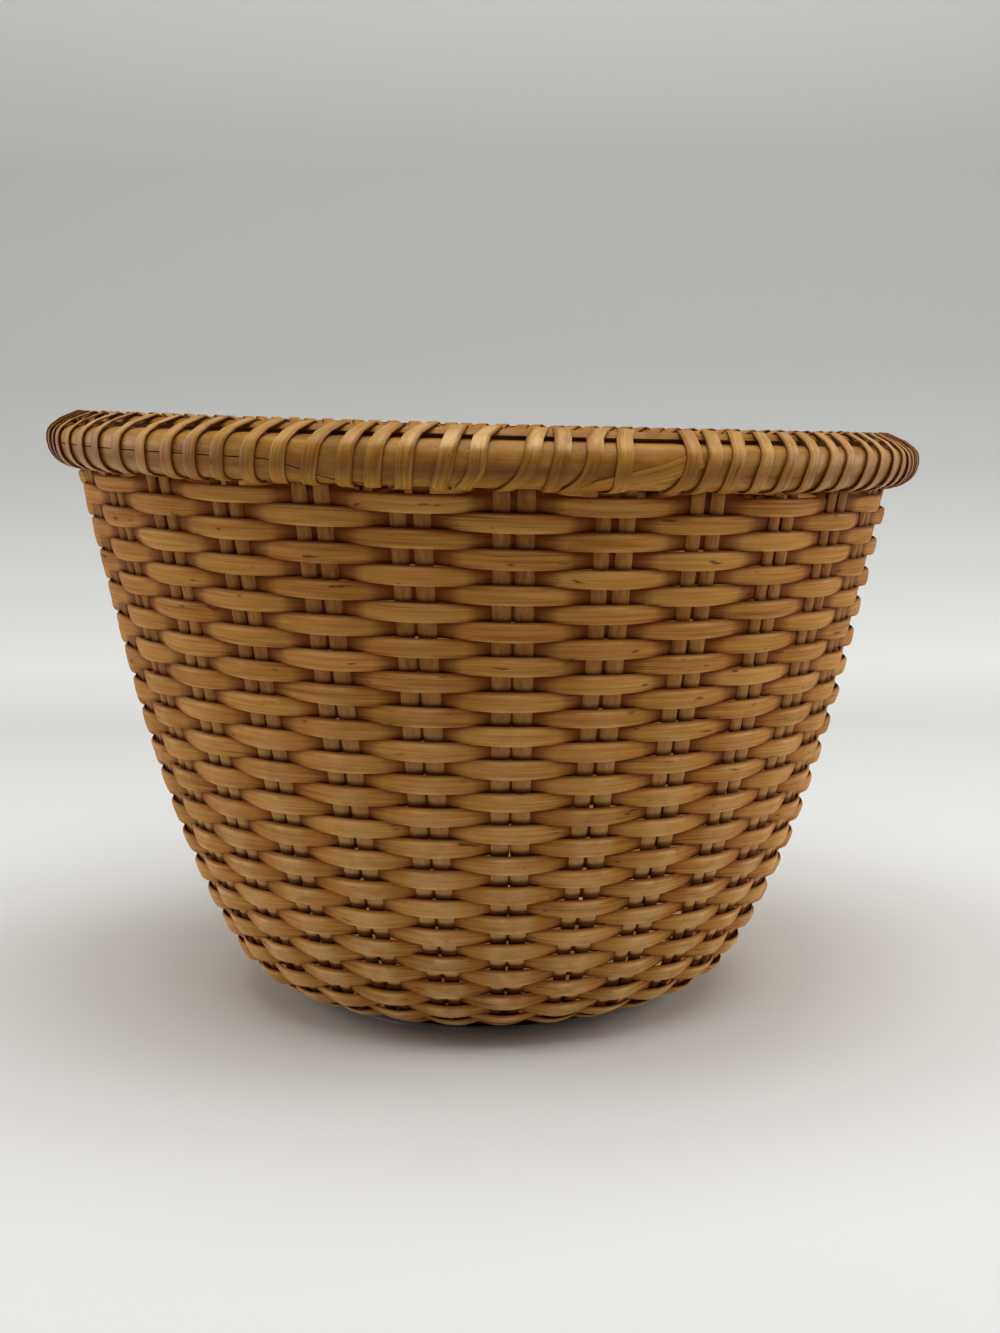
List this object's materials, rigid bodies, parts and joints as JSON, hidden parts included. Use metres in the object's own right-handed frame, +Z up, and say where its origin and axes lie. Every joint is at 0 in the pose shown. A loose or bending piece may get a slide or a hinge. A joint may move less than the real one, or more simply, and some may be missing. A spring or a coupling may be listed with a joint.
{
  "type": "basket",
  "caption": "Round open basket with a flaring wall of flat cane woven over paired staves, a turned wooden base, and a rim of two hoops lashed with cane.",
  "frame": {"origin": "centre of the base on the surface that the basket stands on", "axes": "+Z up through the open mouth; -Y is the side that the picture shows"},
  "size_m": [0.255, 0.255, 0.1738],
  "materials": {
    "base_wood": "turned wood, satin varnish",
    "hoop_wood": "bent wood, satin varnish",
    "stave_cane": "split cane, varnished, fine grain",
    "weaving_cane": "flat cane, aged golden brown, satin",
    "lashing_cane": "flat cane with its glossy skin outside"
  },
  "bodies": {
    "root": {"base": "base_wood", "stave_01": "stave_cane", "stave_02": "stave_cane", "stave_03": "stave_cane", "stave_04": "stave_cane", "stave_05": "stave_cane", "stave_06": "stave_cane", "stave_07": "stave_cane", "stave_08": "stave_cane", "stave_09": "stave_cane", "stave_10": "stave_cane", "stave_11": "stave_cane", "stave_12": "stave_cane", "stave_13": "stave_cane", "stave_14": "stave_cane", "stave_15": "stave_cane", "stave_16": "stave_cane", "stave_17": "stave_cane", "stave_18": "stave_cane", "stave_19": "stave_cane", "stave_20": "stave_cane", "stave_21": "stave_cane", "stave_22": "stave_cane", "stave_23": "stave_cane", "stave_24": "stave_cane", "stave_25": "stave_cane", "stave_26": "stave_cane", "stave_27": "stave_cane", "stave_28": "stave_cane", "stave_29": "stave_cane", "weaver_1": "weaving_cane", "weaver_2": "weaving_cane", "weaver_3": "weaving_cane", "weaver_4": "weaving_cane", "weaver_5": "weaving_cane", "weaver_6": "weaving_cane", "weaver_7": "weaving_cane", "weaver_8": "weaving_cane", "rim_hoop_outer": "hoop_wood", "rim_hoop_inner": "hoop_wood", "rim_lashing": "lashing_cane"}
  },
  "joints": []
}
